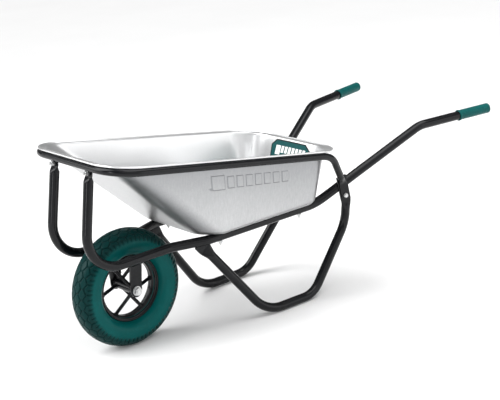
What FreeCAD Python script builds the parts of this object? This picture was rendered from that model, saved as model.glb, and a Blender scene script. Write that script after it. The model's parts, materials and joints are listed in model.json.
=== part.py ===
import FreeCAD, Part

import math
import os

from FreeCAD import Vector

# A one-wheel builder's wheelbarrow. Millimetres, +Z up, +X forward (towards the wheel), +Y to the left.
# Every x below is measured from the wheel axle; export() moves the parts so that the origin
# is on the ground under the middle of the whole wheelbarrow.

# ---------------------------------------------------------------- driving dimensions
AXLE_X = 619.05

FRAME_R = 16.0            # main tubes and legs: 32 mm tube
FRAME_WALL = 1.5
RIM_TUBE_R = 12.5         # tube under the tray's edge
RIM_TUBE_WALL = 1.5

# main tube, left side: corner points of its centre line and the bend radius at each
HANDLE_END = Vector(-1436, 341, 553.8)
HANDLE_BEND = Vector(-1131, 285, 545.5)
REAR_BEND = Vector(-729, 146, 326.5)
DECK_FRONT = Vector(-243, 146, 326.5)
NECK_REAR = Vector(-123, 103, 325)
POST_FOOT = Vector(210.5, 102, 321.5)
POST_TOP = Vector(152.6, 98, 653)
MAIN_BENDS = [90, 130, 90, 90, 112]
POST_FLAT = 36            # length of the squashed top of each post, its transition included
POST_PLATE_W, POST_PLATE_T, POST_PLATE_LENGTH = 36, 5, 16
POST_BOLT_DOWN = 8        # from the top of the post to its bolt

# leg loop, left side
LEG_TOP = Vector(-849.5, 167, 231)
FOOT_REAR = Vector(-661, 185, FRAME_R)
FOOT_FRONT = Vector(-443, 181, FRAME_R)
LEG_FRONT = Vector(-227, 139, 305)
LEG_BENDS = [90, 95, 140]
LEG_PLATE_W = 39          # squashed rear top, against the outside of the main tube
LEG_PLATE_T = 5
LEG_PLATE_BELOW, LEG_PLATE_ABOVE = 55, 43   # its reach either side of the main tube's axis
LEG_BOLT_BELOW = 33
FRONT_PLATE_W = 50
FRONT_PLATE_T = 6
CROSSING_AT = 115.5       # along the handle from the rear bend to where the leg crosses it
CROSSING_UP = Vector(0.249, 0.074, 0.966)

# tray edge: it lies in a plane that rises towards the front
RIM_SLOPE = math.atan(0.166)
RIM_Z = 653.5             # height of the underside of the tray's edge above the axle
MOUTH_FRONT, MOUTH_REAR, MOUTH_HALF = 144, -767, 236
MOUTH_CORNER_FRONT, MOUTH_CORNER_REAR = 100, 112
BEAD_FRONT, BEAD_REAR, BEAD_HALF = 165, -795, 252   # middle of the rolled bead
BEAD_CORNER_FRONT, BEAD_CORNER_REAR = 112, 118
BEAD_R = 3.6
SHEET = 1.2

# tray floor
FLOOR_Z = REAR_BEND.z + FRAME_R
FLOOR_FRONT, FLOOR_REAR, FLOOR_HALF = -217, -712, 194
FLOOR_CORNER_FRONT, FLOOR_CORNER_REAR = 82, 52
FLOOR_FILLET = 29

# rim tube: it runs round the front under the bead, and drops to the legs behind
RIM_TUBE_DROP = RIM_TUBE_R + 0.1
RIM_TUBE_FRONT, RIM_TUBE_HALF, RIM_TUBE_REAR = 155, 248, -731
RIM_TUBE_CORNER = 100
RIM_TUBE_BEND = 100
RIM_PLATE_W, RIM_PLATE_T = 30, 4
DISH_GAP = 0.3            # room round the rim tube where the leg's plate is dished for it
LUG_W, LUG_T = 28, 3      # lugs under the front of the rim tube, for the posts

# wheel
TYRE_R = 200
TYRE_HALF = 51
RIM_FLANGE_R = 113.5
RIM_HALF = 24
BEAD_SEAT_R = 103.5
WELL_R = 98.5
RIM_SHEET = 2
HUB_R, HUB_BORE_R, HUB_HALF = 15, 12.5, 53
AXLE_R = 8
BUSH_GAP = 0.05           # running clearance on the axle
BUSH_LENGTH = 22
BUSH_FLANGE = 1.5
SPOKES = 6
SPOKE_R = 6
SPOKE_HUB_Y = 39          # the spokes start at the two ends of the hub in turn
SPOKE_RIM_Y = -7          # and end just past the rim's middle

# fork brackets
FORK_Y = 57               # inner face of each bracket
FORK_T = 3.5
FORK_HALF = 22
FORK_FLANGE = 5
FORK_PROFILE = [(57, 215), (69, 290), (100, 311)]   # inner face above the axle, as (y, z) pairs

# grips
GRIP_R = 18.5
GRIP_LENGTH = 140
GRIP_END = 5              # thickness of its closed end
GRIP_ROUND = 7
GRIP_LIP, GRIP_LIP_LENGTH = 1.5, 5

# fasteners: M8, and M16 for the axle
BOLT_R = 4
BOLT_HOLE = 4.3           # radius of the clearance holes
NUT_FLATS, NUT_H = 13, 6.5
WASHER_R, WASHER_T = 8, 1.6
HEAD_R, HEAD_H = 10, 4
HEX_HEAD_H = 5.3
THREAD_END = 7            # thread standing past a nut
AXLE_FLATS, AXLE_NUT_H, AXLE_HEAD_H = 24, 11, 10
AXLE_WASHER_R, AXLE_WASHER_T = 16, 2.5
TRAY_BOLT_XS = (-295, -651)

# sticker inside the back wall
LABEL_T = 0.4
LABEL_HALF, LABEL_HEIGHT = 102, 84
LABEL_CUT_Y, LABEL_CUT_Z = 26, 22
LABEL_DOWN = 2.5          # below the tray's edge

X_AXIS, Y_AXIS, Z_AXIS = Vector(1, 0, 0), Vector(0, 1, 0), Vector(0, 0, 1)


# ---------------------------------------------------------------- helpers
def unit(v):
    return Vector(v).normalize()


def mirrored(shape):
    """The same part for the right side."""
    return shape.mirror(Vector(0, 0, 0), Y_AXIS)


def smooth_path(points, radii):
    """Straight runs joined by tangent arcs of the given radii, as one wire."""
    edges = []
    start = points[0]
    for i, radius in enumerate(radii, 1):
        corner = points[i]
        back = unit(points[i - 1] - corner)
        ahead = unit(points[i + 1] - corner)
        half = back.getAngle(ahead) / 2
        reach = radius / math.tan(half)
        middle = unit(back + ahead)
        centre = corner + middle * (radius / math.sin(half))
        first, last = corner + back * reach, corner + ahead * reach
        edges.append(Part.LineSegment(start, first).toShape())
        edges.append(Part.Arc(first, centre - middle * radius, last).toShape())
        start = last
    edges.append(Part.LineSegment(start, points[-1]).toShape())
    return Part.Wire(edges)


def sweep(path, radius):
    first = path.Edges[0]
    start = first.valueAt(first.FirstParameter)
    ahead = first.tangentAt(first.FirstParameter)
    ring = Part.Wire(Part.makeCircle(radius, start, ahead))
    return path.makePipeShell([ring], True, False)


def tube(points, radii, radius, wall):
    path = smooth_path(points, radii)
    return sweep(path, radius).cut(sweep(path, radius - wall))


def section(centre, along, wide, squash, radius, half_w, half_t):
    """One closed outline between a circle (squash 0) and a flat strip with round edges (squash 1)."""
    along = unit(along)
    thin = unit(along.cross(wide))
    wide = unit(thin.cross(along))
    diagonal = radius * math.sqrt(0.5)
    a = diagonal + (half_w - half_t - diagonal) * squash
    b = diagonal + (half_t - diagonal) * squash
    w = radius + (half_w - radius) * squash
    h = radius + (half_t - radius) * squash

    def at(x, y):
        return centre + wide * x + thin * y

    def side(p, q, r):
        if abs(h - b) < 1e-6 and abs(q.sub(centre).dot(thin)) > 1e-9:
            return Part.LineSegment(p, r).toShape()
        return Part.Arc(p, q, r).toShape()

    right = Part.Arc(at(a, -b), at(w, 0), at(a, b)).toShape()
    top = side(at(a, b), at(0, h), at(-a, b))
    left = Part.Arc(at(-a, b), at(-w, 0), at(-a, -b)).toShape()
    bottom = side(at(-a, -b), at(0, -h), at(a, -b))
    return Part.Wire([right, top, left, bottom])


def squashed_skin(start, along, finish, along_end, wide, radius, half_w, half_t):
    """The solid outline of a tube's end pressed flat: round at start, a strip at finish."""
    sections = []
    reach = finish.sub(start).Length
    for s in (0, 0.35, 0.7, 1):
        ease = s * s * (3 - 2 * s)
        h0, h1 = 2 * s**3 - 3 * s**2 + 1, -2 * s**3 + 3 * s**2
        t0, t1 = s**3 - 2 * s**2 + s, s**3 - s**2
        centre = start * h0 + finish * h1 + unit(along) * (reach * t0) + unit(along_end) * (reach * t1)
        way = unit(along) * (1 - ease) + unit(along_end) * ease
        sections.append(section(centre, way, wide, ease, radius, half_w, half_t))
    return Part.makeLoft(sections, True, False)


def squashed_end(start, along, finish, along_end, wide, radius, wall, half_w, half_t):
    """The same end with its bore, which closes up towards the strip."""
    outer = squashed_skin(start, along, finish, along_end, wide, radius, half_w, half_t)
    bore = squashed_skin(start, along, finish, along_end, wide, radius - wall, half_w - wall, half_t * 0.25)
    return outer.cut(bore)


def strip(start, along, wide, length, half_w, half_t, corner):
    """A flat bar with rounded corners at its far end."""
    along = unit(along)
    thin = unit(along.cross(wide))
    wide = unit(thin.cross(along))

    def at(x, y):
        return start + wide * x + along * y - thin * half_t

    arc = corner * (1 - math.sqrt(0.5))
    w, n = half_w, length
    edges = [
        Part.LineSegment(at(-w, 0), at(w, 0)).toShape(),
        Part.LineSegment(at(w, 0), at(w, n - corner)).toShape(),
        Part.Arc(at(w, n - corner), at(w - arc, n - arc), at(w - corner, n)).toShape(),
        Part.LineSegment(at(w - corner, n), at(-w + corner, n)).toShape(),
        Part.Arc(at(-w + corner, n), at(-w + arc, n - arc), at(-w, n - corner)).toShape(),
        Part.LineSegment(at(-w, n - corner), at(-w, 0)).toShape(),
    ]
    return Part.Face(Part.Wire(edges)).extrude(thin * (2 * half_t))


def rod(start, axis, radius, length):
    return Part.makeCylinder(radius, length, start, axis)


def ring(start, axis, outer, inner, length):
    return rod(start, axis, outer, length).cut(rod(start, axis, inner, length))


def hexagon(start, axis, flats, length):
    """A hexagonal prism with its corners turned off, as on a nut."""
    corner = flats / math.sqrt(3)
    wide = unit(axis.cross(Vector(0.31, 0.17, 0.93)))
    high = unit(axis.cross(wide))
    corners = []
    for i in range(7):
        a = math.radians(60 * i)
        corners.append(start + wide * (corner * math.cos(a)) + high * (corner * math.sin(a)))
    prism = Part.Face(Part.makePolygon(corners)).extrude(unit(axis) * length)
    turned = rod(start, axis, corner, length)
    chamfer = corner * 0.1
    ends = [e for e in turned.Edges if e.Curve.TypeId == "Part::GeomCircle"]
    return prism.common(turned.makeChamfer(chamfer, ends))


def nut(start, axis, flats, height, bore):
    return hexagon(start, axis, flats, height).cut(rod(start, axis, bore, height))


def rounded_outline(front, rear, half, corner_front, corner_rear, z=0):
    """Closed outline in a flat plane: a rectangle with round corners."""
    def corner(x, y, sx, sy, r):
        k = r * (1 - math.sqrt(0.5))
        if sx * sy > 0:
            return Vector(x, y - sy * r, z), Vector(x - sx * k, y - sy * k, z), Vector(x - sx * r, y, z)
        return Vector(x - sx * r, y, z), Vector(x - sx * k, y - sy * k, z), Vector(x, y - sy * r, z)

    arcs = [
        corner(front, half, 1, 1, corner_front),
        corner(rear, half, -1, 1, corner_rear),
        corner(rear, -half, -1, -1, corner_rear),
        corner(front, -half, 1, -1, corner_front),
    ]
    edges = []
    for i, (a, m, b) in enumerate(arcs):
        edges.append(Part.Arc(a, m, b).toShape())
        edges.append(Part.LineSegment(b, arcs[(i + 1) % 4][0]).toShape())
    return Part.Wire(edges)


def on_rim_plane(shape):
    """Carries a shape drawn flat at z = 0 onto the sloping plane of the tray's edge."""
    shape = shape.copy()
    shape.rotate(Vector(0, 0, 0), Y_AXIS, -math.degrees(RIM_SLOPE))
    shape.translate(Vector(0, 0, RIM_Z))
    return shape


def rim_point(x, y, drop=0):
    """A point of the rim plane at the given x and y, or a distance below that plane."""
    normal = Vector(-math.sin(RIM_SLOPE), 0, math.cos(RIM_SLOPE))
    return Vector(x, y, RIM_Z + x * math.tan(RIM_SLOPE)) - normal * drop


# ---------------------------------------------------------------- frame
POST_WAY = unit(POST_TOP - POST_FOOT)
POST_NORMAL = unit(Vector(POST_WAY.z, 0, -POST_WAY.x))
POST_BOLT = POST_TOP - POST_WAY * POST_BOLT_DOWN
HANDLE_WAY = unit(HANDLE_BEND - REAR_BEND)
SIDE_NORMAL = unit(Y_AXIS - HANDLE_WAY * HANDLE_WAY.y)
PLATE_UP = unit(CROSSING_UP - SIDE_NORMAL * CROSSING_UP.dot(SIDE_NORMAL))
CROSSING = REAR_BEND + HANDLE_WAY * CROSSING_AT


def side_point(up, out):
    """A point on the outside of the main tube where the leg crosses it."""
    return CROSSING + SIDE_NORMAL * out + PLATE_UP * up


LEG_BOLT = side_point(-LEG_BOLT_BELOW, 0)


def main_tube():
    squash_from = POST_TOP - POST_WAY * POST_FLAT
    points = [HANDLE_END, HANDLE_BEND, REAR_BEND, DECK_FRONT, NECK_REAR, POST_FOOT, squash_from]
    body = tube(points, MAIN_BENDS, FRAME_R, FRAME_WALL)
    plate_from = POST_TOP - POST_WAY * POST_PLATE_LENGTH
    neck = squashed_end(squash_from, POST_WAY, plate_from, POST_WAY, Y_AXIS, FRAME_R, FRAME_WALL,
                        POST_PLATE_W / 2, POST_PLATE_T / 2)
    plate = strip(plate_from, POST_WAY, Y_AXIS, POST_PLATE_LENGTH, POST_PLATE_W / 2, POST_PLATE_T / 2, 8)
    body = body.fuse([neck, plate])
    for x in TRAY_BOLT_XS:
        body = body.cut(rod(Vector(x, REAR_BEND.y, FLOOR_Z - 60), Z_AXIS, BOLT_HOLE, 100))
    return body.cut(rod(POST_BOLT - POST_NORMAL * 30, POST_NORMAL, BOLT_HOLE, 60))


def rim_tube_neck():
    """Where the rim tube starts to be squashed, the way it comes down, and where it is flat."""
    plate_out = FRAME_R + LEG_PLATE_T + RIM_PLATE_T / 2
    knee = side_point(22, plate_out)
    down = unit(knee - rim_point(RIM_TUBE_REAR, RIM_TUBE_HALF, RIM_TUBE_DROP))
    return knee - down * 30, down, side_point(8, plate_out)


def leg():
    plate_out = FRAME_R + LEG_PLATE_T / 2
    plate_from = side_point(-LEG_PLATE_BELOW, plate_out)
    climb = unit(plate_from - LEG_TOP)
    squash_from = plate_from - climb * 36
    front_way = unit(LEG_FRONT - FOOT_FRONT)
    front_flat = LEG_FRONT - front_way * 4
    front_squash = front_flat - front_way * 46
    points = [squash_from, LEG_TOP, FOOT_REAR, FOOT_FRONT, front_squash]
    body = tube(points, LEG_BENDS, FRAME_R, FRAME_WALL)
    top = squashed_end(squash_from, climb, plate_from, PLATE_UP, HANDLE_WAY, FRAME_R, FRAME_WALL,
                       LEG_PLATE_W / 2, LEG_PLATE_T / 2)
    plate_length = LEG_PLATE_BELOW + LEG_PLATE_ABOVE
    plate = strip(plate_from, PLATE_UP, HANDLE_WAY, plate_length, LEG_PLATE_W / 2, LEG_PLATE_T / 2, 3)
    front_wide = unit(X_AXIS - Z_AXIS * 0.55)
    front = squashed_end(front_squash, front_way, front_flat, front_way, front_wide, FRAME_R, FRAME_WALL,
                         FRONT_PLATE_W / 2, FRONT_PLATE_T / 2)
    front_plate = strip(front_flat, front_way, front_wide, 26, FRONT_PLATE_W / 2, FRONT_PLATE_T / 2, 4)
    body = body.fuse([top, plate, front, front_plate])
    start, down, finish = rim_tube_neck()
    dish = squashed_skin(start, down, finish, PLATE_UP * -1, HANDLE_WAY, RIM_TUBE_R + DISH_GAP,
                         RIM_PLATE_W / 2 + DISH_GAP, RIM_PLATE_T / 2 + DISH_GAP)
    body = body.cut(dish)
    path = smooth_path([REAR_BEND, DECK_FRONT, NECK_REAR, POST_FOOT], MAIN_BENDS[2:4])
    body = body.cut(sweep(path, FRAME_R))
    return body.cut(rod(LEG_BOLT, SIDE_NORMAL, BOLT_HOLE, 60))


def rim_tube():
    """The tube under the tray's edge: round the front, back along both sides, and down to the legs."""
    squash_from, down, plate_from = rim_tube_neck()
    corner = rim_point(RIM_TUBE_REAR, RIM_TUBE_HALF, RIM_TUBE_DROP)
    front = rim_point(RIM_TUBE_FRONT, RIM_TUBE_HALF, RIM_TUBE_DROP)
    ends = []
    for side in (1, -1):
        def flip(p, side=side):
            return Vector(p.x, side * p.y, p.z)
        ends.append([flip(p) for p in (squash_from, corner, front)])
    points = ends[0] + ends[1][::-1]
    radii = [RIM_TUBE_BEND, RIM_TUBE_CORNER, RIM_TUBE_CORNER, RIM_TUBE_BEND]
    body = tube(points, radii, RIM_TUBE_R, RIM_TUBE_WALL)
    neck = squashed_end(squash_from, down, plate_from, PLATE_UP * -1, HANDLE_WAY, RIM_TUBE_R, RIM_TUBE_WALL,
                        RIM_PLATE_W / 2, RIM_PLATE_T / 2)
    plate_length = LEG_BOLT_BELOW + 8 + 15
    plate = strip(plate_from, PLATE_UP * -1, HANDLE_WAY, plate_length, RIM_PLATE_W / 2, RIM_PLATE_T / 2, 12)
    flat = neck.fuse(plate).cut(rod(LEG_BOLT, SIDE_NORMAL, BOLT_HOLE, 60))
    return body.fuse([flat, mirrored(flat)])


def rim_tab():
    """Small lug under the front of the rim tube, which the post is bolted to."""
    start = POST_BOLT + POST_NORMAL * (POST_PLATE_T / 2 + LUG_T / 2) + POST_WAY * 30
    lug = strip(start, POST_WAY * -1, Y_AXIS, 38, LUG_W / 2, LUG_T / 2, 8)
    front = rim_point(RIM_TUBE_FRONT, 0, RIM_TUBE_DROP)
    lug = lug.cut(rod(front - Y_AXIS * 200, Y_AXIS, RIM_TUBE_R, 400))
    lug = min(lug.Solids, key=lambda s: s.CenterOfMass.z)
    return lug.cut(rod(POST_BOLT, POST_NORMAL, BOLT_HOLE, 30))


def fork_bracket():
    """Folded steel bracket from the main tube's neck down to the axle, with its edges turned in."""
    low = TYRE_R
    inner = [(FORK_Y, low)] + FORK_PROFILE

    def plate(x, width, near, far):
        """The bracket's section between two distances from its inner face, as wide as asked."""
        outline = [Vector(x, y + near, z) for y, z in inner]
        outline += [Vector(x, y + far, z) for y, z in inner[::-1]]
        return Part.Face(Part.makePolygon(outline + outline[:1])).extrude(X_AXIS * width)

    body = plate(-FORK_HALF, 2 * FORK_HALF, 0, FORK_T)
    body = body.fuse(rod(Vector(0, FORK_Y, low), Y_AXIS, FORK_HALF, FORK_T))
    flange_low, flange_high = low + 28, FORK_PROFILE[1][1]
    keep = Part.makeBox(2 * FORK_HALF, 200, flange_high - flange_low, Vector(-FORK_HALF, 0, flange_low))
    for x in (-FORK_HALF, FORK_HALF - FORK_T):
        body = body.fuse(plate(x, FORK_T, -FORK_FLANGE, FORK_T).common(keep))
    path = smooth_path([DECK_FRONT, NECK_REAR, POST_FOOT], MAIN_BENDS[3:4])
    body = body.cut(sweep(path, FRAME_R))
    body = body.cut(rod(Vector(0, FORK_Y - 10, low), Y_AXIS, AXLE_R + 0.2, 30))
    return body.removeSplitter()


def grip():
    way = unit(HANDLE_END - HANDLE_BEND)
    start = HANDLE_END - way * (GRIP_LENGTH - GRIP_END)
    body = rod(start, way, GRIP_R, GRIP_LENGTH)
    end_edges = [e for e in body.Edges if e.CenterOfMass.sub(start + way * GRIP_LENGTH).Length < 1]
    body = body.makeFillet(GRIP_ROUND, end_edges)
    mouth = rod(start, way, GRIP_R + GRIP_LIP, GRIP_LIP_LENGTH)
    body = body.fuse(mouth).removeSplitter()
    return body.cut(rod(start, way, FRAME_R, GRIP_LENGTH - GRIP_END))


# ---------------------------------------------------------------- tray
def tray_skin(inset):
    """The solid bounded by one side of the sheet, inset from the tray's outside."""
    floor = rounded_outline(FLOOR_FRONT - inset, FLOOR_REAR + inset, FLOOR_HALF - inset,
                            FLOOR_CORNER_FRONT, FLOOR_CORNER_REAR, FLOOR_Z + inset)
    slope = math.cos(RIM_SLOPE)
    mouth = rounded_outline((MOUTH_FRONT - 1.4 * inset) / slope, (MOUTH_REAR + inset) / slope, MOUTH_HALF - inset,
                            MOUTH_CORNER_FRONT, MOUTH_CORNER_REAR, SHEET)
    skin = Part.makeLoft([floor, on_rim_plane(mouth)], True, True)
    floor_edges = [e for e in skin.Edges
                   if all(abs(v.Z - FLOOR_Z - inset) < 1e-3 for v in e.Vertexes)]
    return skin.makeFillet(FLOOR_FILLET - inset, floor_edges)


def tray():
    slope = math.cos(RIM_SLOPE)
    hole = rounded_outline(MOUTH_FRONT / slope - 0.6, MOUTH_REAR / slope + 0.6, MOUTH_HALF - 0.6,
                           MOUTH_CORNER_FRONT, MOUTH_CORNER_REAR)
    middle = rounded_outline(BEAD_FRONT / slope, BEAD_REAR / slope, BEAD_HALF,
                             BEAD_CORNER_FRONT, BEAD_CORNER_REAR)
    collar = Part.Face(middle).cut(Part.Face(hole)).extrude(Z_AXIS * SHEET)
    middle.translate(Z_AXIS * BEAD_R)
    path = Part.Wire(middle.Edges[1:] + middle.Edges[:1])
    start = path.Edges[0]
    point = start.valueAt(start.FirstParameter)
    circle = Part.Wire(Part.makeCircle(BEAD_R, point, start.tangentAt(start.FirstParameter)))
    bead = path.makePipeShell([circle], True, False)
    shell = tray_skin(0).cut(tray_skin(SHEET))
    body = shell.fuse([on_rim_plane(collar), on_rim_plane(bead)]).removeSplitter()
    for x in TRAY_BOLT_XS:
        for y in (-REAR_BEND.y, REAR_BEND.y):
            body = body.cut(rod(Vector(x, y, FLOOR_Z - 20), Z_AXIS, BOLT_HOLE, 60))
    return body


def label():
    """Plain sticker inside the back wall, with its upper corners cut off."""
    foot = Vector(FLOOR_REAR, 0, FLOOR_Z)
    head = rim_point(MOUTH_REAR, 0)
    up = unit(head - foot)
    normal = unit(Y_AXIS.cross(up))
    base = head + normal * (SHEET + 0.35) - up * (LABEL_DOWN + LABEL_HEIGHT)
    side = [(LABEL_HALF, 0), (LABEL_HALF, LABEL_HEIGHT - LABEL_CUT_Z), (LABEL_HALF - LABEL_CUT_Y, LABEL_HEIGHT)]
    other = [(-y, h) for y, h in side[::-1]]
    outline = [base + Y_AXIS * y + up * h for y, h in side + other + side[:1]]
    return Part.Face(Part.makePolygon(outline)).extrude(normal * LABEL_T)


# ---------------------------------------------------------------- wheel
def rim_profile():
    """Outside of the rim's section from its middle to one flange, as (y, radius) pairs."""
    return [(0, WELL_R), (8, WELL_R), (13, BEAD_SEAT_R - 1), (RIM_HALF - 3, BEAD_SEAT_R),
            (RIM_HALF - 3, RIM_FLANGE_R - 4), (RIM_HALF - 2, RIM_FLANGE_R)]


def revolve_about_axle(points):
    face = Part.Face(Part.makePolygon([Vector(0, y, TYRE_R + r) for y, r in points + points[:1]]))
    return face.revolve(Vector(0, 0, TYRE_R), Y_AXIS, 360)


def wheel_rim():
    outside = rim_profile()
    inside = [(RIM_HALF + 1, RIM_FLANGE_R - 1), (RIM_HALF - 1, RIM_FLANGE_R - 5), (RIM_HALF - 1, BEAD_SEAT_R - 3),
              (14, BEAD_SEAT_R - 3), (9, WELL_R - RIM_SHEET), (0, WELL_R - RIM_SHEET)]
    half = outside + inside
    other = [(-y, r) for y, r in half[::-1] if y > 0]
    return revolve_about_axle(half + other)


def tyre():
    """Solid foam tyre; its underside follows the rim."""
    steps = 18
    shoulder_r = 150
    half = []
    for i in range(steps + 1):
        a = math.pi / 2 * i / steps
        y = TYRE_HALF * math.sin(a) ** 0.85
        half.append((y, shoulder_r + (TYRE_R - shoulder_r) * math.cos(a) ** 0.9))
    half += [(50, 138), (44, 126), (34, 117), (RIM_HALF - 2, RIM_FLANGE_R)]
    half += rim_profile()[::-1][1:]
    other = [(-y, r) for y, r in half[::-1] if y > 0]
    return revolve_about_axle(half + other)


def spokes():
    """Round bars, welded to the two ends of the hub in turn and to the rim's well."""
    bars = []
    for i in range(SPOKES):
        angle = math.radians(360 / SPOKES * i)
        side = 1 if i % 2 else -1
        out = Vector(math.cos(angle), 0, math.sin(angle))
        axle = Vector(0, 0, TYRE_R)
        start = axle + out * (HUB_R - 4) + Y_AXIS * (side * SPOKE_HUB_Y)
        finish = axle + out * (WELL_R + 2) + Y_AXIS * (side * SPOKE_RIM_Y)
        bar = rod(start, finish - start, SPOKE_R, finish.sub(start).Length)
        bar = bar.cut(rod(Vector(0, -60, TYRE_R), Y_AXIS, HUB_R, 120))
        well = ring(Vector(0, -30, TYRE_R), Y_AXIS, WELL_R + 20, WELL_R - RIM_SHEET, 60)
        bars.append(bar.cut(well))
    return Part.makeCompound(bars)


def hub_tube():
    return ring(Vector(0, -HUB_HALF, TYRE_R), Y_AXIS, HUB_R, HUB_BORE_R, 2 * HUB_HALF)


def hub_bush():
    bore = AXLE_R + BUSH_GAP
    sleeve = ring(Vector(0, HUB_HALF - BUSH_LENGTH, TYRE_R), Y_AXIS, HUB_BORE_R, bore, BUSH_LENGTH)
    return sleeve.fuse(ring(Vector(0, HUB_HALF, TYRE_R), Y_AXIS, HUB_R, bore, BUSH_FLANGE)).removeSplitter()


def axle_bolt():
    outer = FORK_Y + FORK_T
    start = Vector(0, -outer - AXLE_WASHER_T, TYRE_R)
    shank = rod(start, Y_AXIS, AXLE_R, 2 * (outer + AXLE_WASHER_T) + AXLE_NUT_H + 3)
    end = [e for e in shank.Edges if e.CenterOfMass.y > outer + AXLE_NUT_H]
    shank = shank.makeChamfer(1, [e for e in end if e.Curve.TypeId == "Part::GeomCircle"])
    return shank.fuse(hexagon(start, Y_AXIS * -1, AXLE_FLATS, AXLE_HEAD_H)).removeSplitter()


def axle_nut():
    return nut(Vector(0, FORK_Y + FORK_T + AXLE_WASHER_T, TYRE_R), Y_AXIS, AXLE_FLATS, AXLE_NUT_H, AXLE_R)


def axle_washers():
    outer = FORK_Y + FORK_T
    washers = [ring(Vector(0, y, TYRE_R), Y_AXIS, AXLE_WASHER_R, AXLE_R, AXLE_WASHER_T)
               for y in (outer, -outer - AXLE_WASHER_T)]
    return Part.makeCompound(washers)


def axle_spacers():
    """Collars that hold the hub between the brackets, with a little end play."""
    inner = HUB_HALF + BUSH_FLANGE + 0.4
    length = FORK_Y - inner
    return Part.makeCompound([ring(Vector(0, y, TYRE_R), Y_AXIS, 12, AXLE_R, length) for y in (inner, -FORK_Y)])


# ---------------------------------------------------------------- fasteners
def tray_bolts():
    """Round-headed bolts down through the floor and the main tubes, heads inside the tray."""
    bolts = []
    length = FLOOR_Z + SHEET - (FLOOR_Z - 2 * FRAME_R - WASHER_T - NUT_H - THREAD_END)
    for x in TRAY_BOLT_XS:
        for y in (-REAR_BEND.y, REAR_BEND.y):
            seat = Vector(x, y, FLOOR_Z + SHEET)
            dome_r = (HEAD_R**2 + HEAD_H**2) / (2 * HEAD_H)
            ball = Part.makeSphere(dome_r, seat - Z_AXIS * (dome_r - HEAD_H))
            dome = ball.common(rod(seat, Z_AXIS, HEAD_R, HEAD_H))
            bolts.append(rod(seat, Z_AXIS * -1, BOLT_R, length).fuse(dome).removeSplitter())
    return Part.makeCompound(bolts)


def tray_washers():
    low = FLOOR_Z - 2 * FRAME_R - WASHER_T
    return Part.makeCompound([ring(Vector(x, y, low), Z_AXIS, WASHER_R, BOLT_R, WASHER_T)
                              for x in TRAY_BOLT_XS for y in (-REAR_BEND.y, REAR_BEND.y)])


def tray_nuts():
    low = FLOOR_Z - 2 * FRAME_R - WASHER_T
    return Part.makeCompound([nut(Vector(x, y, low), Z_AXIS * -1, NUT_FLATS, NUT_H, BOLT_R)
                              for x in TRAY_BOLT_XS for y in (-REAR_BEND.y, REAR_BEND.y)])


def both_sides(shape):
    return Part.makeCompound([shape, mirrored(shape)])


def post_bolts():
    """Hexagon bolts from behind through the squashed posts and the lugs."""
    back = POST_BOLT - POST_NORMAL * (POST_PLATE_T / 2)
    reach = POST_PLATE_T + LUG_T + WASHER_T + NUT_H + THREAD_END
    bolt = rod(back, POST_NORMAL, BOLT_R, reach).fuse(hexagon(back, POST_NORMAL * -1, NUT_FLATS, HEX_HEAD_H))
    return both_sides(bolt.removeSplitter())


def post_washers():
    seat = POST_BOLT + POST_NORMAL * (POST_PLATE_T / 2 + LUG_T)
    return both_sides(ring(seat, POST_NORMAL, WASHER_R, BOLT_R, WASHER_T))


def post_nuts():
    seat = POST_BOLT + POST_NORMAL * (POST_PLATE_T / 2 + LUG_T + WASHER_T)
    return both_sides(nut(seat, POST_NORMAL, NUT_FLATS, NUT_H, BOLT_R))


def leg_bolts():
    """One bolt each side through the rim tube's squashed end and the leg, with its head outside."""
    seat = LEG_BOLT + SIDE_NORMAL * (FRAME_R + LEG_PLATE_T + RIM_PLATE_T + WASHER_T)
    reach = RIM_PLATE_T + LEG_PLATE_T + WASHER_T + NUT_H + 3
    bolt = rod(seat, SIDE_NORMAL * -1, BOLT_R, reach).fuse(hexagon(seat, SIDE_NORMAL, NUT_FLATS, HEX_HEAD_H))
    return both_sides(bolt.removeSplitter())


def leg_washers():
    seat = LEG_BOLT + SIDE_NORMAL * (FRAME_R + LEG_PLATE_T + RIM_PLATE_T)
    return both_sides(ring(seat, SIDE_NORMAL, WASHER_R, BOLT_R, WASHER_T))


def leg_nuts():
    seat = LEG_BOLT + SIDE_NORMAL * FRAME_R
    return both_sides(nut(seat, SIDE_NORMAL * -1, NUT_FLATS, NUT_H, BOLT_R))


# ---------------------------------------------------------------- export
def export(name, shape):
    shape = shape.copy()
    shape.translate(Vector(AXLE_X, 0, 0))
    shape.exportStep("parts/" + name + ".step")
    return shape


def main():
    os.makedirs("parts", exist_ok=True)
    single = {
        "tray": tray, "rim_tube": rim_tube, "label": label,
        "tyre": tyre, "wheel_rim": wheel_rim, "spokes": spokes, "hub_tube": hub_tube,
        "axle_bolt": axle_bolt, "axle_nut": axle_nut, "axle_washers": axle_washers, "axle_spacers": axle_spacers,
        "tray_bolts": tray_bolts, "tray_washers": tray_washers, "tray_nuts": tray_nuts,
        "post_bolts": post_bolts, "post_washers": post_washers, "post_nuts": post_nuts,
        "leg_bolts": leg_bolts, "leg_washers": leg_washers, "leg_nuts": leg_nuts,
    }
    paired = {
        "main_tube": main_tube, "leg": leg, "rim_tab": rim_tab, "fork_bracket": fork_bracket,
        "hub_bush": hub_bush, "grip": grip,
    }
    made = [(name, export(name, build())) for name, build in single.items()]
    for name, build in paired.items():
        shape = build()
        made.append((name + "_left", export(name + "_left", shape)))
        made.append((name + "_right", export(name + "_right", mirrored(shape))))
    whole = Part.makeCompound([shape for name, shape in made]).BoundBox
    for name, shape in made:
        print(name, len(shape.Solids), "solids", "valid" if shape.isValid() else "INVALID", round(shape.Volume))
    print("x", round(whole.XMin, 2), round(whole.XMax, 2), "y", round(whole.YMin, 2), round(whole.YMax, 2),
          "z", round(whole.ZMin, 2), round(whole.ZMax, 2))


main()
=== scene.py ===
import json
import math

import bmesh
import bpy
import numpy as np
from mathutils import Matrix, Vector


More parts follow.
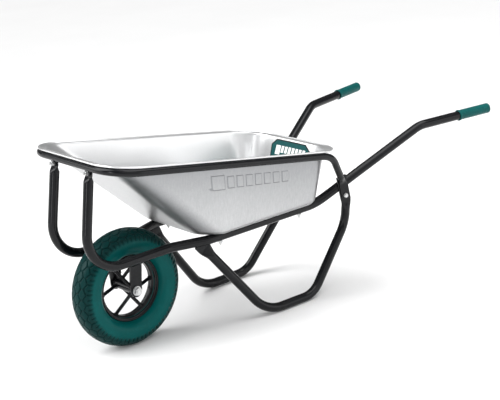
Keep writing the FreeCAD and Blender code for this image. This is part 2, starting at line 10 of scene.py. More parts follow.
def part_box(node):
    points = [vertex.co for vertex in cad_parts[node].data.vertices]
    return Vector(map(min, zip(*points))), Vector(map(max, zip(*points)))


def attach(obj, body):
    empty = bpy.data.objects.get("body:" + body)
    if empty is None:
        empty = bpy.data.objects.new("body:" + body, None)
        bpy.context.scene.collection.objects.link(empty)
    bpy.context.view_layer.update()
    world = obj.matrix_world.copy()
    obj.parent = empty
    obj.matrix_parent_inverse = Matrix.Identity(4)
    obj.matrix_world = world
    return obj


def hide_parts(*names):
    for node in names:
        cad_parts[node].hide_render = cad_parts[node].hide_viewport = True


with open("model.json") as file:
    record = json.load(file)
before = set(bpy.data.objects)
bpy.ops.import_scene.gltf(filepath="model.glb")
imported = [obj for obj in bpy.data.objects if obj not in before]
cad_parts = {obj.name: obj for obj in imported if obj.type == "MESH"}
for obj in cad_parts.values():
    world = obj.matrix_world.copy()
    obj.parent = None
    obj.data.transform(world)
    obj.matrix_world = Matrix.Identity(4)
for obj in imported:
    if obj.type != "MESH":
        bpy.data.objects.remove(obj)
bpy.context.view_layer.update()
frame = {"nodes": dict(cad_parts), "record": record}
NODES = frame["nodes"]

# Shapes are worked out in millimetres with x measured from the wheel axle, as in the CAD source,
# and turned into metres in the frame by mesh_object().
hub_low, hub_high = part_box("hub_tube")
AXLE = Vector(((hub_low.x + hub_high.x) / 2, 0, (hub_low.z + hub_high.z) / 2))
HUB = np.array([0, 0, AXLE.z * 1000])      # the axle, in those millimetres
TYRE_R = (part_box("tyre")[1].z - AXLE.z) * 1000
FLOOR_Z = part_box("tray")[0].z * 1000       # underside of the tray
RNG = np.random.RandomState(7)


# ------------------------------------------------------------------ vectors and meshes
MERGE_DISTANCE = 2e-5                      # metres


def unit(v):
    return v / np.linalg.norm(v)


def unit_rows(v):
    return v / np.linalg.norm(v, axis=1)[:, None]


def across(axis, hint):
    """Two directions square to a unit axis and to each other; the hint is any direction off the axis."""
    side = unit(np.cross(axis, hint))
    return side, np.cross(axis, side)


def smoothstep(t):
    t = np.clip(t, 0, 1)
    return t * t * (3 - 2 * t)


def mesh_object(name, points, faces, material, smooth=True):
    """A mesh from points in millimetres, with x measured from the axle."""
    points = np.asarray(points, float) / 1000
    points = points + np.array([AXLE.x, 0, 0])
    mesh = bpy.data.meshes.new(name)
    mesh.from_pydata(points.tolist(), [], [list(map(int, f)) for f in faces])
    mesh.validate()
    mesh.update()
    obj = bpy.data.objects.new(name, mesh)
    bpy.context.scene.collection.objects.link(obj)
    mesh.materials.append(material)
    mesh.polygons.foreach_set("use_smooth", [smooth] * len(mesh.polygons))
    return obj


def grid_faces(rows, columns, wrap_rows=False):
    """Quads of a grid stored row by row, whose columns go all the way round."""
    faces = []
    for r in range(rows if wrap_rows else rows - 1):
        a, b = r * columns, ((r + 1) % rows) * columns
        for c in range(columns):
            d = (c + 1) % columns
            faces.append((a + c, a + d, b + d, b + c))
    return faces


def edit(obj, *steps):
    """Runs bmesh steps on an object's mesh."""
    bm = bmesh.new()
    bm.from_mesh(obj.data)
    for step in steps:
        step(bm)
    bm.to_mesh(obj.data)
    bm.free()
    return obj


def merge(bm):
    bmesh.ops.remove_doubles(bm, verts=bm.verts, dist=MERGE_DISTANCE)


def face_out(bm):
    bmesh.ops.recalc_face_normals(bm, faces=bm.faces)


def paint(obj, name, values):
    """Stores one number per point, for the materials to read."""
    attribute = obj.data.attributes.new(name, "FLOAT", "POINT")
    attribute.data.foreach_set("value", values.ravel().astype(np.float32))


def lathe(name, origin, axis, profile, segments, material, ripple=None):
    """Turns a closed outline of (distance along axis, radius) pairs, in millimetres, round an axis."""
    axis = unit(np.array(axis, float))
    side, up = across(axis, [0.31, 0.17, 0.93])
    turn = np.linspace(0, 2 * math.pi, segments, endpoint=False)
    points = []
    for along, radius in profile:
        r = radius * np.ones(segments) if ripple is None else radius + ripple(along, radius, turn)
        ring = np.outer(np.cos(turn) * r, side) + np.outer(np.sin(turn) * r, up)
        points.append(np.array(origin) + axis * along + ring)
    faces = grid_faces(len(profile), segments, wrap_rows=True)
    return edit(mesh_object(name, np.vstack(points), faces, material), merge, face_out)


# ------------------------------------------------------------------ materials
class Nodes:
    """A material's node tree, with short calls for the nodes used here."""

    def __init__(self, name):
        self.material = bpy.data.materials.new(name)
        self.material.use_nodes = True
        self.tree = self.material.node_tree
        self.tree.nodes.clear()
        out = self.add("ShaderNodeOutputMaterial")
        self.shader = self.add("ShaderNodeBsdfPrincipled")
        self.link(self.shader.outputs[0], out.inputs[0])
        self.place = self.add("ShaderNodeTexCoord").outputs["Object"]

    def add(self, kind, **settings):
        node = self.tree.nodes.new(kind)
        for key, value in settings.items():
            setattr(node, key, value)
        return node

    def link(self, a, b):
        self.tree.links.new(a, b)

    def stretched(self, x, y, z):
        """Object coordinates scaled by axis, for streaks."""
        node = self.add("ShaderNodeMapping")
        node.inputs["Scale"].default_value = (x, y, z)
        self.link(self.place, node.inputs["Vector"])
        return node.outputs["Vector"]

    def painted(self, name):
        """A number that paint() stored on the mesh."""
        return self.add("ShaderNodeAttribute", attribute_name=name).outputs["Fac"]

    def noise(self, scale, detail=4, rough=0.55, where=None, distortion=0.0):
        node = self.add("ShaderNodeTexNoise")
        node.inputs["Scale"].default_value = scale
        node.inputs["Detail"].default_value = detail
        node.inputs["Roughness"].default_value = rough
        node.inputs["Distortion"].default_value = distortion
        self.link(where or self.place, node.inputs["Vector"])
        return node.outputs["Fac"]

    def voronoi(self, scale, output="Distance"):
        node = self.add("ShaderNodeTexVoronoi")
        node.inputs["Scale"].default_value = scale
        self.link(self.place, node.inputs["Vector"])
        return node.outputs[output]

    def ramp(self, value, low, high, out_low=0.0, out_high=1.0):
        node = self.add("ShaderNodeMapRange", clamp=True)
        numbers = {"From Min": low, "From Max": high, "To Min": out_low, "To Max": out_high}
        for key, number in numbers.items():
            node.inputs[key].default_value = number
        self.link(value, node.inputs["Value"])
        return node.outputs["Result"]

    def plus(self, a, b):
        node = self.add("ShaderNodeMath", operation="ADD")
        self.link(a, node.inputs[0])
        self.link(b, node.inputs[1])
        return node.outputs[0]

    def blend(self, factor, a, b):
        """Mixes two colours, each a socket or three numbers."""
        node = self.add("ShaderNodeMix", data_type="RGBA")
        self.link(factor, node.inputs[0])
        for socket, value in ((node.inputs[6], a), (node.inputs[7], b)):
            if isinstance(value, tuple):
                socket.default_value = value + (1,)
            else:
                self.link(value, socket)
        return node.outputs[2]

    def bump(self, *layers):
        """Stacks (height, distance in metres) layers into one normal."""
        normal = None
        for height, distance in layers:
            node = self.add("ShaderNodeBump")
            node.inputs["Distance"].default_value = distance
            node.inputs["Strength"].default_value = 1.0
            self.link(height, node.inputs["Height"])
            if normal is not None:
                self.link(normal, node.inputs["Normal"])
            normal = node.outputs["Normal"]
        self.link(normal, self.shader.inputs["Normal"])

    def set(self, **values):
        """Sets the shader's inputs, each to a socket or a constant."""
        for key, value in values.items():
            socket = self.shader.inputs[key.replace("_", " ")]
            if isinstance(value, bpy.types.NodeSocket):
                self.link(value, socket)
            else:
                socket.default_value = value


def galvanised():
    """Drawn galvanised sheet: faint spangle, drawing streaks and rubbed patches.

    Painted shade darkens it along the pressed edges and high on the outer sides, with a painted dark
    reflection round the corners; painted light makes it lighter on the inside of the tray.
    """
    n = Nodes("galvanised_sheet")
    cloud = n.noise(3.2, 3)
    streak = n.noise(1.0, 3, 0.6, n.stretched(230, 230, 7))
    scuff = n.noise(55, 5, 0.7)
    spangle = n.add("ShaderNodeRGBToBW")
    n.link(n.voronoi(260, output="Color"), spangle.inputs[0])
    tone = n.blend(n.ramp(cloud, 0.3, 0.7), (0.45, 0.455, 0.46), (0.515, 0.52, 0.525))
    tone = n.blend(n.ramp(streak, 0.35, 0.75, 0, 0.6), tone, (0.60, 0.605, 0.61))
    tone = n.blend(n.ramp(spangle.outputs[0], 0.2, 0.8, 0, 0.16), tone, (0.34, 0.35, 0.36))
    tone = n.blend(n.ramp(scuff, 0.6, 0.8, 0, 0.2), tone, (0.58, 0.58, 0.58))
    # painted shade: darker along the pressed edges of the bars
    tone = n.blend(n.ramp(n.painted("pressed_edge_shade"), 0, 1, 0, 0.75), tone, (0.22, 0.225, 0.235))
    # painted shade high on the outer sides, and a painted dark reflection round the corners
    tone = n.blend(n.ramp(n.painted("painted_shade"), 0, 1, 0, 0.85), tone, (0.17, 0.175, 0.185))
    # painted light: lighter on the inside of the tray
    tone = n.blend(n.ramp(n.painted("inner"), 0, 1, 0, 0.85), tone, (0.74, 0.745, 0.75))
    n.set(Base_Color=tone, Metallic=0.85, Roughness=n.ramp(cloud, 0.25, 0.75, 0.27, 0.35))
    n.bump((n.noise(7, 2), 0.0010), (n.noise(2500, 1), 0.000004))
    return n.material


def black_coat():
    """Satin powder coat: fine orange peel, a little dust and small scuffs."""
    n = Nodes("black_powder_coat")
    peel = n.noise(900, 2, 0.5)
    cloud = n.noise(14, 4)
    scuff = n.noise(160, 6, 0.75)
    tone = n.blend(n.ramp(cloud, 0.3, 0.7), (0.0026, 0.0030, 0.0040), (0.0045, 0.0050, 0.0064))
    tone = n.blend(n.ramp(scuff, 0.66, 0.8, 0, 0.35), tone, (0.035, 0.037, 0.041))
    rough = n.plus(n.ramp(cloud, 0.3, 0.7, 0.16, 0.22), n.ramp(scuff, 0.6, 0.8, 0, 0.12))
    n.set(Base_Color=tone, Roughness=rough, Specular_IOR_Level=0.24)
    n.bump((peel, 0.00004), (cloud, 0.0002))
    return n.material


def zinc():
    """Bright zinc plate, slightly cloudy."""
    n = Nodes("zinc_plate")
    cloud = n.noise(120, 4)
    grain = n.noise(1500, 2)
    tone = n.blend(n.ramp(cloud, 0.3, 0.7), (0.50, 0.51, 0.52), (0.68, 0.68, 0.67))
    n.set(Base_Color=tone, Metallic=0.9, Roughness=n.ramp(cloud, 0.3, 0.7, 0.24, 0.4))
    n.bump((grain, 0.00003), (cloud, 0.0001))
    return n.material


def foam_tyre():
    """Moulded polyurethane: satin skin, faint flow marks, darker and rougher in the tread, with painted shade
    in the grooves.
    """
    n = Nodes("tyre_foam")
    cloud = n.noise(9, 4)
    flow = n.noise(70, 5, 0.65, distortion=0.6)
    pores = n.voronoi(900)
    tread = n.painted("tread")
    tone = n.blend(n.ramp(cloud, 0.3, 0.7), (0.0002, 0.068, 0.065), (0.0004, 0.083, 0.079))
    tone = n.blend(n.ramp(flow, 0.55, 0.8, 0, 0.3), tone, (0.003, 0.15, 0.138))
    tone = n.blend(n.ramp(tread, 0, 1, 0, 0.95), tone, (0.0004, 0.022, 0.0215))
    # painted shade in the grooves of the tread
    tone = n.blend(n.ramp(n.painted("groove"), 0, 1, 0, 0.7), tone, (0.001, 0.022, 0.021))
    rough = n.plus(n.ramp(cloud, 0.3, 0.7, 0.28, 0.36), n.ramp(tread, 0, 1, 0, 0.05))
    n.set(Base_Color=tone, Roughness=rough, Specular_IOR_Level=0.09)
    n.bump((flow, 0.0002), (pores, 0.00006))
    return n.material


def grip_rubber():
    """Moulded grip with a leather grain."""
    n = Nodes("grip_moulding")
    cloud = n.noise(30, 4)
    leather = n.voronoi(420)
    tone = n.blend(n.ramp(cloud, 0.3, 0.7), (0.0002, 0.042, 0.041), (0.0004, 0.060, 0.058))
    tone = n.blend(n.ramp(leather, 0.2, 0.7, 0, 0.35), tone, (0.01, 0.16, 0.15))
    n.set(Base_Color=tone, Roughness=n.ramp(leather, 0.1, 0.6, 0.26, 0.38), Specular_IOR_Level=0.12)
    n.bump((leather, 0.0004), (cloud, 0.0003))
    return n.material


def nylon():
    """Dull black plastic of the hub's bushes."""
    n = Nodes("bush_nylon")
    cloud = n.noise(200, 4)
    tone = n.blend(n.ramp(cloud, 0.3, 0.7), (0.035, 0.035, 0.037), (0.06, 0.06, 0.062))
    n.set(Base_Color=tone, Roughness=n.ramp(cloud, 0.3, 0.7, 0.45, 0.6))
    n.bump((cloud, 0.0001))
    return n.material


def film(name, dark, light):
    """Printed vinyl film, slightly cloudy and finely grained."""
    n = Nodes(name)
    cloud = n.noise(45, 4)
    fine = n.noise(700, 3)
    tone = n.blend(n.ramp(cloud, 0.3, 0.7), dark, light)
    n.set(Base_Color=tone, Roughness=n.ramp(fine, 0.3, 0.7, 0.38, 0.5), Specular_IOR_Level=0.2)
    n.bump((fine, 0.00003), (cloud, 0.00015))
    return n.material


GALVANISED, BLACK, ZINC = galvanised(), black_coat(), zinc()
FOAM, GRIP, NYLON = foam_tyre(), grip_rubber(), nylon()
FILM_GREEN = film("label_green", (0.0004, 0.054, 0.055), (0.0008, 0.068, 0.069))
FILM_BLACK = film("label_black", (0.004, 0.004, 0.005), (0.009, 0.009, 0.01))
FILM_WHITE = film("label_white", (0.78, 0.79, 0.79), (0.88, 0.88, 0.87))

SLOT_MATERIALS = {"galvanised": GALVANISED, "black_coat": BLACK, "zinc": ZINC, "tyre": FOAM,
                  "grip": GRIP, "bush": NYLON, "label": FILM_GREEN}
for part in frame["record"]["subparts"]:
    shown = NODES[part["node"]]
    shown.data.materials.clear()
    shown.data.materials.append(SLOT_MATERIALS[part["material_slot"]])


# ------------------------------------------------------------------ tray
RIM_RISE = 0.166                    # of the rim's plane, for each millimetre forward
RIM_SLOPE = math.atan(RIM_RISE)
RIM_Z = 653.5                       # height of that plane at the axle's x
RIM_NORMAL = np.array([-math.sin(RIM_SLOPE), 0, math.cos(RIM_SLOPE)])
MOUTH = dict(front=144.5, rear=-767, half=236, corner_front=100, corner_rear=112)
BEAD = dict(front=165, rear=-795, half=252, corner_front=112, corner_rear=118)
FLOOR = dict(front=-211, rear=-712, half=194, corner_front=84, corner_rear=52)
BEAD_R = 3.6
SHEET = 1.2
TOE_R, BOTTOM_R = 105, 29           # bottom bend in front, and at the sides and back
FLANGE_Z = 3.0                      # the flange's underside above the plane of the rim
BEND_R = 3.0                        # from the wall into the flange
TRAY_MIDDLE = np.array([-300, 0, 560.0])

# the raised pattern on the left side: slanted plain bars, the first one larger
BAR_START, BAR_GAP = -219.0, 9.0
BAR_RISE, BAR_EDGE, BAR_SLANT = 2.4, 2.5, 0.12
BAR_PIVOT = 75                      # depth below the rim that the slant leaves in place
BARS = []                           # (front, rear, top, bottom), the last two measured down from the rim
bar_x = BAR_START
for i in range(8):
    width, top, low = (56, 50, 102) if i == 0 else (30, 55, 99 - 0.6 * i)
    BARS.append((bar_x, bar_x - width, top, low))
    bar_x -= width + BAR_GAP

# how fine the tray's grid is: closer together where the side is pressed
PRESSED_FROM, PRESSED_TO = -125.0, -565.0      # along x
PRESSED_TOP, PRESSED_LOW = 46, 106             # below the rim
END_STEPS, CORNER_STEPS = 14, 20
FLAT_ROWS = (0.0, 0.2, 0.4, 0.6, 0.8, 0.93)
BEND_ROWS, LOW_ROWS, PRESSED_ROWS, BEAD_ROWS = 13, 16, 46, 19
TOP_ROWS = [38, 30, 22, 15, 8, 3, 0]           # below the rim
CORE_INSET = 150                               # the bottom's rows close on a line this far from its ends

# how the tray's painted shade and painted light are laid on
EDGE_STEP = 0.45                    # share of the bars' rise between two points that counts as a full edge
SHADE_DEPTH = 210                   # below the rim, where the painted shade of the sides has died out
# strength of the painted shade on the sides and of the painted dark reflection at the corners
SHADE_SIDE, SHADE_CORNER = 0.85, 0.7


def side_fraction(x):
    """Where x lies along the straight side of the mouth, from 0 in front to 1 behind."""
    front, rear = MOUTH["front"] - MOUTH["corner_front"], MOUTH["rear"] + MOUTH["corner_rear"]
    return (front - x) / (front - rear)


SIDE_STEPS = np.concatenate([
    np.linspace(0, side_fraction(PRESSED_FROM), 16)[:-1],
    np.linspace(side_fraction(PRESSED_FROM), side_fraction(PRESSED_TO), 310)[:-1],
    np.linspace(side_fraction(PRESSED_TO), 1, 8)[:-1],
])


def outline(front, rear, half, corner_front, corner_rear):
    """Points round a rectangle with round corners, and their normals; the same count whatever the sizes."""
    ends = np.linspace(0, 1, END_STEPS + 1)
    quarter = np.linspace(0, 90, CORNER_STEPS + 1)[:-1]

    def line(a, b, steps, normal):
        t = steps[:, None]
        return np.hstack([np.array(a) * (1 - t) + np.array(b) * t, np.tile(normal, (len(steps), 1))])

    def arc(cx, cy, r, start):
        a = np.radians(start + quarter)
        return np.stack([cx + r * np.cos(a), cy + r * np.sin(a), np.cos(a), np.sin(a)], 1)

    left = np.vstack([
        line((front, 0), (front, half - corner_front), ends[:-1], (1, 0)),
        arc(front - corner_front, half - corner_front, corner_front, 0),
        line((front - corner_front, half), (rear + corner_rear, half), SIDE_STEPS, (0, 1)),
        arc(rear + corner_rear, half - corner_rear, corner_rear, 90),
        line((rear, half - corner_rear), (rear, 0), ends, (-1, 0)),
    ])
    right = left[1:-1][::-1] * np.array([1, -1, 1, -1])
    both = np.vstack([left, right])
    return both[:, :2], both[:, 2:]


def rim_height(x):
    return RIM_Z + x * math.tan(RIM_SLOPE)


def below_rim(points):
    return rim_height(points[..., 0]) - points[..., 2]


def on_rim(xy, up=0.0):
    """Plan points carried onto the plane of the rim, or a height above it."""
    return np.stack([xy[:, 0], xy[:, 1], rim_height(xy[:, 0])], 1) + RIM_NORMAL * up


def pressing(x, below):
    """How far the side stands out at x, a distance below the rim."""
    rise = np.zeros_like(x)
    x = x + BAR_SLANT * (below - BAR_PIVOT)
    for front, rear, top, low in BARS:
        inside = np.minimum(np.minimum(front - x, x - rear), np.minimum(below - top, low - below))
        rise = np.maximum(rise, smoothstep(inside / BAR_EDGE))
    return rise * BAR_RISE


def tray_outside(floor_xy, floor_n, head):
    """Rows of points from the middle of the bottom, round the bottom bend and up the wall to the mouth."""
    count = len(floor_xy)
    foot = np.column_stack([floor_xy, np.full(count, FLOOR_Z)])
    inward = np.column_stack([-floor_n, np.zeros(count)])
    up = unit_rows(head - foot)
    # the bottom bend's radius eases from the toe round to the sides
    radius = BOTTOM_R + (TOE_R - BOTTOM_R) * smoothstep(floor_n[:, 0])
    angle = np.arccos(np.clip((up * inward).sum(1), -1, 1))
    reach = (radius / np.tan(angle / 2))[:, None]
    centre = foot + unit_rows(up + inward) * (radius / np.sin(angle / 2))[:, None]
    from_floor = unit_rows(foot + inward * reach - centre)
    from_wall = unit_rows(foot + up * reach - centre)
    sweep = np.arccos(np.clip((from_floor * from_wall).sum(1), -1, 1))

    ring = foot + inward * reach
    core_x = np.clip(ring[:, 0], FLOOR["rear"] + CORE_INSET, FLOOR["front"] - CORE_INSET)
    core = np.column_stack([core_x, np.zeros(count), np.full(count, FLOOR_Z)])
    rows = [core * (1 - t) + ring * t for t in FLAT_ROWS]
    for t in np.linspace(0, 1, BEND_ROWS):
        a, b = np.sin((1 - t) * sweep) / np.sin(sweep), np.sin(t * sweep) / np.sin(sweep)
        rows.append(centre + (from_floor * a[:, None] + from_wall * b[:, None]) * radius[:, None])

    # rows of the wall lie level with the rim, as the bars do
    drop = up[:, 2] - up[:, 0] * math.tan(RIM_SLOPE)      # fall below the rim's plane per millimetre of wall
    depth = np.linalg.norm(head - (foot + up * reach), axis=1) * drop
    levels = [PRESSED_LOW + (depth - PRESSED_LOW) * t for t in np.linspace(1, 0, LOW_ROWS)[1:-1]]
    levels += list(np.linspace(PRESSED_LOW, PRESSED_TOP, PRESSED_ROWS)) + TOP_ROWS
    rows += [head - up * (below / drop)[:, None] for below in levels]
    return np.array(rows)


def tray_inside(outer):
    """The same rows, set off by the sheet's thickness towards the inside of the tray."""
    around = np.roll(outer, -1, axis=1) - np.roll(outer, 1, axis=1)
    normal = np.cross(around, np.gradient(outer, axis=0))
    normal[:len(FLAT_ROWS)] = [0, 0, 1]     # the flat bottom, whose first row folds onto a line
    size = np.linalg.norm(normal, axis=2)[..., None]
    normal = normal / np.where(size < 1e-9, 1, size)
    normal *= np.sign((normal * (TRAY_MIDDLE - outer)).sum(2))[..., None]
    return outer + normal * SHEET


def rolled_edge(top, mouth_xy, bead_xy):
    """Rows from the top of the wall out under the flange, round the bead and back over the flange."""
    out = unit_rows(on_rim(bead_xy) - on_rim(mouth_xy))
    bends = np.radians((30, 60, 90))
    rows = [top + out * (BEND_R * (1 - math.cos(a))) + RIM_NORMAL * (BEND_R * math.sin(a)) for a in bends]
    bead = on_rim(bead_xy, BEAD_R)
    under = math.asin((FLANGE_Z - BEAD_R) / BEAD_R)
    over = math.asin((FLANGE_Z + SHEET - BEAD_R) / BEAD_R)
    for a in np.linspace(math.pi - under, 3 * math.pi - over, BEAD_ROWS):
        rows.append(bead + out * (BEAD_R * math.cos(a)) + RIM_NORMAL * (BEAD_R * math.sin(a)))
    r = BEND_R + SHEET
    rows += [top + out * (BEND_R - r * math.cos(a)) + RIM_NORMAL * (r * math.sin(a)) for a in bends[::-1]]
    return np.array(rows)


def tray_mesh():
    """The tray with its pressed bars and rolled edge, and three tones painted on it: painted shade along the
    bars' edges, painted shade high on the sides with a painted dark reflection round the corners, and painted
    light inside.
    """
    floor_xy, floor_n = outline(**FLOOR)
    mouth_xy, bead_xy = outline(**MOUTH)[0], outline(**BEAD)[0]
    outer = tray_outside(floor_xy, floor_n, on_rim(mouth_xy))
    on_left = (floor_n[:, 1] > 0.999) & (outer[:, :, 1] > 0)
    risen = pressing(outer[:, :, 0], below_rim(outer)) * on_left
    outer[:, :, 1] += risen
    rows = np.concatenate([outer, rolled_edge(outer[-1], mouth_xy, bead_xy), tray_inside(outer)[::-1][1:]])
    faces = grid_faces(len(rows), len(floor_xy))
    obj = mesh_object("tray_pressed", rows.reshape(-1, 3), faces, material=GALVANISED)

    # painted shade along the edges of the bars, where the side is pressed
    slope = np.abs(np.gradient(risen, axis=1)) + np.abs(np.gradient(risen, axis=0))
    pressed_edge_shade = np.clip(slope / (EDGE_STEP * BAR_RISE), 0, 1)
    # painted shade high on the two sides, and a painted dark reflection round the four corners
    high = np.clip(1 - below_rim(outer) / SHADE_DEPTH, 0, 1)
    corner = 4 * floor_n[:, 0] ** 2 * floor_n[:, 1] ** 2
    painted_shade = np.clip(high * np.abs(floor_n[:, 1]) ** 8 * SHADE_SIDE + corner * SHADE_CORNER, 0, 1)
    rest = np.zeros((len(rows) - len(outer), len(floor_xy)))
    paint(obj, "pressed_edge_shade", np.concatenate([pressed_edge_shade, rest]))
    paint(obj, "painted_shade", np.concatenate([painted_shade, rest]))
    # painted light, lighter on the inside of the tray
    paint(obj, "inner", np.concatenate([np.zeros_like(painted_shade), rest + 1]))
    return edit(obj, merge, face_out)


tray = tray_mesh()
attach(tray, "frame")
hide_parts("tray")


# ------------------------------------------------------------------ sticker
def sticker():
    """Black-edged green film with plain white bars in place of lettering, inside the back wall."""
    foot = np.array([FLOOR["rear"], 0, FLOOR_Z], float)
    head = np.array([MOUTH["rear"], 0, rim_height(MOUTH["rear"])])
    up = unit(head - foot)
    normal = np.cross([0, 1, 0], up)
    normal *= np.sign(normal[0])
    half, height, cut_y, cut_z = 102, 84, 26, 22
    down, gap = 2.5, 0.3            # below the mouth, and off the sheet

    def at(y, h, lift):
        return head + normal * (SHEET + gap + lift) - up * (down + height - h) + np.array([0, y, 0])

    def plate(name, outline_yh, low, high, material):
        """A flat film between two heights off the sheet, from an outline across and up the wall."""
        count = len(outline_yh)
        points = [at(y, h, low) for y, h in outline_yh] + [at(y, h, high) for y, h in outline_yh]
        faces = [tuple(range(count))[::-1], tuple(range(count, 2 * count))]
        faces += [(i, (i + 1) % count, count + (i + 1) % count, count + i) for i in range(count)]
        obj = edit(mesh_object(name, points, faces, smooth=False, material=material), face_out)
        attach(obj, "frame")
        return obj

    def shape(inset):
        """The label's outline with its two upper corners cut off."""
        h, w, cut = height - inset, half - inset, inset * 0.4
        return [(-w, inset), (w, inset), (w, height - cut_z - cut), (half - cut_y - cut, h),
                (-half + cut_y + cut, h), (-w, height - cut_z - cut)]

    edge = plate("label_edge", shape(0), 0, 0.25, FILM_BLACK)
    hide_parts("label")
    plate("label_field", shape(4.5), 0.2, 0.4, FILM_GREEN)
    y, top, lean, spacing = -78.0, 62, 4, 5.5
    for i in range(8):
        width, tall = (24, 34) if i == 0 else (13, 25)
        bar = [(y, top - tall), (y + width, top - tall), (y + width + lean, top), (y + lean, top)]
        plate("label_bar_%d" % (i + 1), bar, 0.35, 0.55, FILM_WHITE)
        y += width + spacing


sticker()


# ------------------------------------------------------------------ tyre
PITCHES = 33                        # repeats of the tread
PITCH = 2 * math.pi * TYRE_R / PITCHES
TYRE_HALF = 51
WIDEST_R = 150                      # where the tyre is widest
TYRE_COLUMNS = 840
TREAD_CUT, LINE_CUT = 3.8, 0.6      # depth of the grooves, and of the lines round the sidewall
LINE_AT, LINE_WIDTH = (78, 106), 1.3
FINE_END = 74                       # rows are closer together from the crown to here
GROOVE_HALF, GROOVE_WALL = 0.8, 1.5 # half the width of a groove's bottom, and the width of its wall
NOTCH_WALL = NOTCH_WIDENS = 2.6     # the same wall in a notch of the shoulder, and what its half adds outwards
TONE_EDGE, TONE_FADE = 52, 20       # where the tread's darker tone starts to fade, and over how much


def tyre_profile():
    """(y, r) pairs from the crown to one rim flange, and each one's distance from the crown."""
    half = []
    for a in [math.pi / 2 * i / 60 for i in range(61)]:
        r = WIDEST_R + (TYRE_R - WIDEST_R) * math.cos(a) ** 0.9
        half.append((TYRE_HALF * math.sin(a) ** 0.85, r))
    half += [(50.6, 144), (49.2, 137), (46.6, 130.5), (42.6, 125),
             (37, 120.5), (30, 117), (25.2, 114.6), (22, 113.5)]
    half = np.array(half)
    along = np.concatenate([[0], np.cumsum(np.linalg.norm(np.diff(half, axis=0), axis=1))])
    wanted = np.concatenate([np.arange(0, FINE_END, 1.4), np.linspace(FINE_END, along[-1], 22)])
    return np.stack([np.interp(wanted, along, half[:, 0]), np.interp(wanted, along, half[:, 1])], 1), wanted


def segment_distance(a, t, p, q):
    """Distance from points (a, t) to a segment that comes again at every pitch along a."""
    best = None
    for shift in (-PITCH, 0, PITCH):
        px, py, qx, qy = p[0] + shift, p[1], q[0] + shift, q[1]
        dx, dy = qx - px, qy - py
        u = np.clip(((a - px) * dx + (t - py) * dy) / (dx * dx + dy * dy), 0, 1)
        d = np.hypot(a - px - u * dx, t - py - u * dy)
        best = d if best is None else np.minimum(best, d)
    return best


def tread_depth(a, t):
    """Groove depth, 0 to 1, at a distance a round the tyre and t across it."""
    a = np.mod(a + np.where(t < 0, PITCH / 2, 0), PITCH)
    u = np.abs(t)
    p = PITCH
    net = [((0, 5), (p / 2, -5)), ((p / 2, -5), (p, 5)), ((0, 5), (0, 15)),
           ((0, 15), (p / 2, 25)), ((p / 2, 25), (p, 15)), ((p / 2, 25), (p / 2, 35)),
           ((p / 2, 35), (p, 45)), ((0, 45), (p / 2, 35))]
    shoulder = [((0, 45), (2, 68)), ((p / 2 - 1, 52), (p / 2 + 1, 68))]
    depth = np.zeros_like(a)
    for segment in net:
        d = segment_distance(a, u, *segment)
        depth = np.maximum(depth, 1 - smoothstep((d - GROOVE_HALF) / GROOVE_WALL))
    # the notches of the shoulder widen and grow shallower outwards
    for segment in shoulder:
        d = segment_distance(a, u, *segment)
        wide = GROOVE_HALF + np.clip((u - 45) / 25, 0, 1) * NOTCH_WIDENS
        shallow = 1 - 0.35 * np.clip((u - 50) / 15, 0, 1)
        depth = np.maximum(depth, (1 - smoothstep((d - wide) / NOTCH_WALL)) * shallow)
    return depth * (1 - smoothstep((u - 60) / 9))


def tyre_mesh():
    """The tyre with its moulded tread, closed on the inside where it sits on the rim."""
    half, along = tyre_profile()
    yr = np.concatenate([half[::-1] * np.array([-1, 1]), half[1:]])
    t = np.concatenate([-along[::-1], along[1:]])
    turn = np.linspace(0, 2 * math.pi, TYRE_COLUMNS, endpoint=False)
    tangent = np.gradient(yr, axis=0)
    normal = unit_rows(np.stack([tangent[:, 1], -tangent[:, 0]], 1))
    normal *= np.sign((normal * (yr - np.array([0, WIDEST_R]))).sum(1))[:, None]
    depth = tread_depth(*np.meshgrid(turn * TYRE_R, t))
    # moulded lines round the sidewall, by distance from the crown
    lines = sum(np.exp(-((np.abs(t) - c) / LINE_WIDTH) ** 2) for c in LINE_AT)
    cut = TREAD_CUT * depth + LINE_CUT * lines[:, None]
    y = yr[:, 0][:, None] - normal[:, 0][:, None] * cut
    r = yr[:, 1][:, None] - normal[:, 1][:, None] * cut
    # (y, r) pairs of the inside, on the rim
    seat = np.array([(21, 109.5), (21, 103.5), (13, 102.5), (8, 98.5),
                     (-8, 98.5), (-13, 102.5), (-21, 103.5), (-21, 109.5)])
    y = np.concatenate([y, np.tile(seat[:, :1], (1, TYRE_COLUMNS))])
    r = np.concatenate([r, np.tile(seat[:, 1:], (1, TYRE_COLUMNS))])
    points = np.stack([np.cos(turn)[None, :] * r, y, HUB[2] + np.sin(turn)[None, :] * r], 2)
    faces = grid_faces(len(points), TYRE_COLUMNS, wrap_rows=True)
    obj = mesh_object("tyre_tread", points.reshape(-1, 3), faces, material=FOAM)
    crown = np.concatenate([1 - smoothstep((np.abs(t) - TONE_EDGE) / TONE_FADE), np.zeros(len(seat))])
    # how deep the grooves are, for the painted shade in them
    paint(obj, "groove", np.concatenate([depth, np.zeros((len(seat), TYRE_COLUMNS))]))
    paint(obj, "tread", np.repeat(crown, TYRE_COLUMNS))
    return edit(obj, face_out)


tyre = tyre_mesh()
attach(tyre, "wheel")
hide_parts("tyre")


